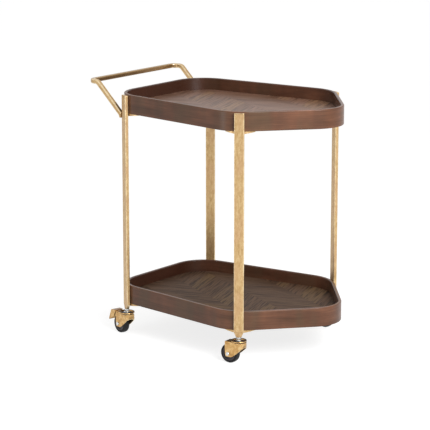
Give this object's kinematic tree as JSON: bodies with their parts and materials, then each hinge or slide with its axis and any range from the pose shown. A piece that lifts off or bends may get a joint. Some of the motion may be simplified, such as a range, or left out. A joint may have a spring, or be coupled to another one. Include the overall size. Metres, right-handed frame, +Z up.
{
  "type": "bar cart",
  "caption": "Two-tier bar cart with elongated pentagon trays in dark wood, flat gold metal legs, a sloped push handle and swivel casters, the handle-end ones with brakes.",
  "frame": {"origin": "on the ground, under the centre of the whole cart's box", "axes": "+X from the push handle to the nose of the trays, +Y to the left of a person at the handle, +Z up"},
  "size_m": [0.6858, 0.4572, 0.6807],
  "materials": {
    "dark_wood_veneer": "satin dark walnut veneer laid in a herringbone pattern on the tray floors",
    "dark_wood_rim": "satin dark stained bent wood rims",
    "antique_gold": "mottled antique gold leaf paint on steel",
    "zinc_steel": "bright zinc plated steel",
    "black_plastic": "satin black moulded plastic",
    "black_rubber": "matt black rubber"
  },
  "bodies": {
    "root": {"upper_tray_rim": "dark_wood_rim", "upper_tray_floor": "dark_wood_veneer", "lower_tray_rim": "dark_wood_rim", "lower_tray_floor": "dark_wood_veneer", "push_handle": "antique_gold", "leg_rear_right": "antique_gold", "leg_cap_rear_right": "antique_gold", "leg_foot_rear_right": "antique_gold", "upper_bracket_rear_right": "antique_gold", "upper_bracket_screw_rear_right": "zinc_steel", "lower_bracket_rear_right": "antique_gold", "lower_bracket_screw_rear_right": "zinc_steel", "caster_stem_rear_right": "zinc_steel", "leg_front_right": "antique_gold", "leg_cap_front_right": "antique_gold", "leg_foot_front_right": "antique_gold", "upper_bracket_front_right": "antique_gold", "upper_bracket_screw_front_right": "zinc_steel", "lower_bracket_front_right": "antique_gold", "lower_bracket_screw_front_right": "zinc_steel", "caster_stem_front_right": "zinc_steel", "leg_front_left": "antique_gold", "leg_cap_front_left": "antique_gold", "leg_foot_front_left": "antique_gold", "upper_bracket_front_left": "antique_gold", "upper_bracket_screw_front_left": "zinc_steel", "lower_bracket_front_left": "antique_gold", "lower_bracket_screw_front_left": "zinc_steel", "caster_stem_front_left": "zinc_steel", "leg_rear_left": "antique_gold", "leg_cap_rear_left": "antique_gold", "leg_foot_rear_left": "antique_gold", "upper_bracket_rear_left": "antique_gold", "upper_bracket_screw_rear_left": "zinc_steel", "lower_bracket_rear_left": "antique_gold", "lower_bracket_screw_rear_left": "zinc_steel", "caster_stem_rear_left": "zinc_steel"},
    "caster_rear_right": {"caster_fork_rear_right": "antique_gold", "axle_rear_right": "zinc_steel", "brake_pin_rear_right": "zinc_steel"},
    "wheel_rear_right": {"wheel_hub_rear_right": "black_plastic", "tyre_rear_right": "black_rubber"},
    "brake_rear_right": {"brake_pedal_rear_right": "antique_gold"},
    "caster_front_right": {"caster_fork_front_right": "antique_gold", "axle_front_right": "zinc_steel"},
    "wheel_front_right": {"wheel_hub_front_right": "black_plastic", "tyre_front_right": "black_rubber"},
    "caster_front_left": {"caster_fork_front_left": "antique_gold", "axle_front_left": "zinc_steel"},
    "wheel_front_left": {"wheel_hub_front_left": "black_plastic", "tyre_front_left": "black_rubber"},
    "caster_rear_left": {"caster_fork_rear_left": "antique_gold", "axle_rear_left": "zinc_steel", "brake_pin_rear_left": "zinc_steel"},
    "wheel_rear_left": {"wheel_hub_rear_left": "black_plastic", "tyre_rear_left": "black_rubber"},
    "brake_rear_left": {"brake_pedal_rear_left": "antique_gold"}
  },
  "joints": [
    {"name": "swivel_rear_right", "type": "hinge", "parent": "root", "child": "caster_rear_right", "pos_m": [-0.21115, -0.17979, 0.06], "axis": [0, 0, 1], "continuous": true},
    {"name": "wheel_spin_rear_right", "type": "hinge", "parent": "caster_rear_right", "child": "wheel_rear_right", "pos_m": [-0.23578, -0.17319, 0.0254], "axis": [-0.2588, -0.9659, 0], "continuous": true},
    {"name": "brake_press_rear_right", "type": "hinge", "parent": "caster_rear_right", "child": "brake_rear_right", "pos_m": [-0.24206, -0.17151, 0.0548], "axis": [-0.2588, -0.9659, 0], "range_deg": [0, 20]},
    {"name": "swivel_front_right", "type": "hinge", "parent": "root", "child": "caster_front_right", "pos_m": [0.18955, -0.20834, 0.06], "axis": [0, 0, 1], "continuous": true},
    {"name": "wheel_spin_front_right", "type": "hinge", "parent": "caster_front_right", "child": "wheel_front_right", "pos_m": [0.16409, -0.20967, 0.0254], "axis": [0.0523, -0.9986, 0], "continuous": true},
    {"name": "swivel_front_left", "type": "hinge", "parent": "root", "child": "caster_front_left", "pos_m": [0.18955, 0.20834, 0.06], "axis": [0, 0, 1], "continuous": true},
    {"name": "wheel_spin_front_left", "type": "hinge", "parent": "caster_front_left", "child": "wheel_front_left", "pos_m": [0.16409, 0.20967, 0.0254], "axis": [-0.0523, -0.9986, 0], "continuous": true},
    {"name": "swivel_rear_left", "type": "hinge", "parent": "root", "child": "caster_rear_left", "pos_m": [-0.21115, 0.17979, 0.06], "axis": [0, 0, 1], "continuous": true},
    {"name": "wheel_spin_rear_left", "type": "hinge", "parent": "caster_rear_left", "child": "wheel_rear_left", "pos_m": [-0.23578, 0.17319, 0.0254], "axis": [0.2588, -0.9659, 0], "continuous": true},
    {"name": "brake_press_rear_left", "type": "hinge", "parent": "caster_rear_left", "child": "brake_rear_left", "pos_m": [-0.24206, 0.17151, 0.0548], "axis": [0.2588, -0.9659, 0], "range_deg": [0, 20]}
  ]
}
